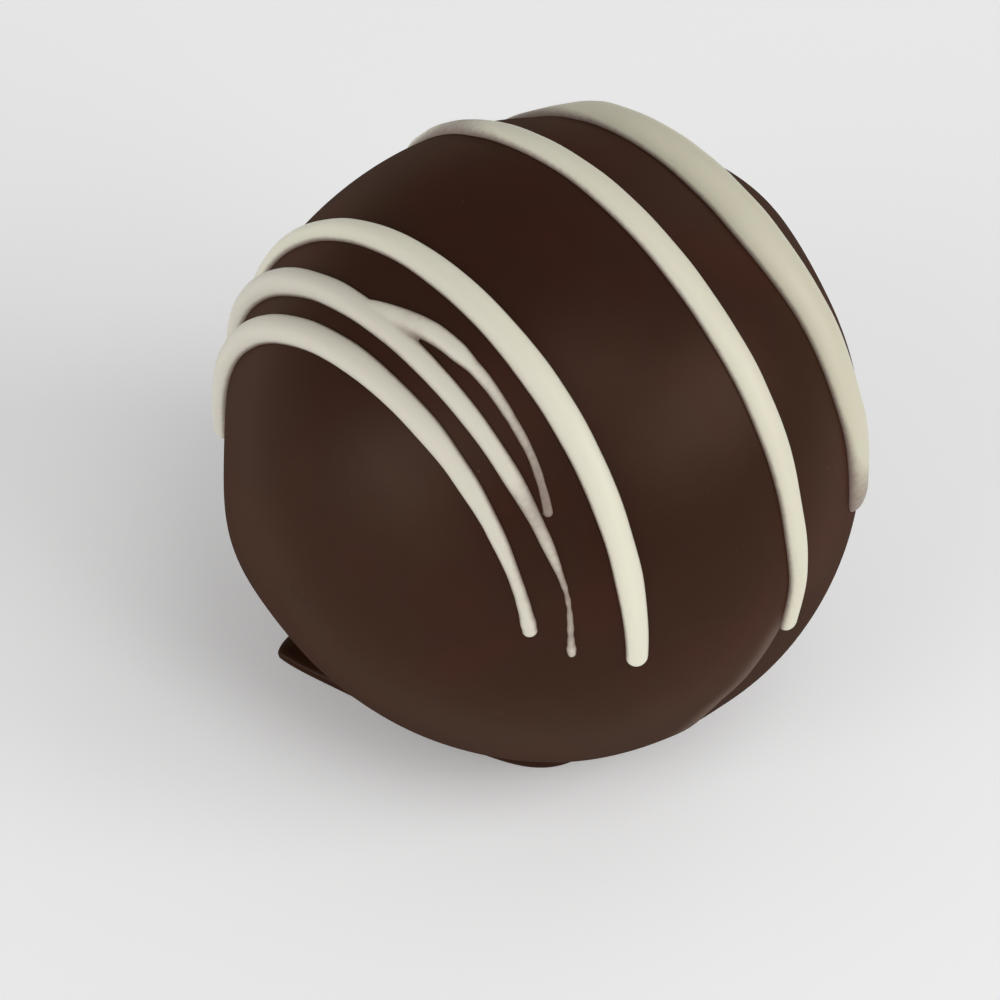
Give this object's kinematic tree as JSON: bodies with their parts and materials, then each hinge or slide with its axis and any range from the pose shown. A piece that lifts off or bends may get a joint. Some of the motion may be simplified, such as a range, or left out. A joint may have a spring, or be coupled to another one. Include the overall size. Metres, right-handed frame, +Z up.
{
  "type": "chocolate truffle",
  "caption": "Round dark chocolate truffle with white chocolate drizzled over the top in raised strands, standing on the thin foot of its coating.",
  "frame": {"origin": "middle of the flat underside, on the surface that the truffle stands on, straight below the ball's centre", "axes": "+Z up through the ball's centre; -Y is the side that the picture looks at; the drizzle runs from the back left (-X +Y) to the front right (+X -Y)"},
  "size_m": [0.0285, 0.0282, 0.0267],
  "materials": {
    "dark_chocolate": "dark chocolate coating, satin, set smooth with a soft sheen",
    "white_chocolate": "ivory white chocolate drizzle, satin"
  },
  "bodies": {
    "root": {"truffle": "dark_chocolate"}
  },
  "joints": []
}
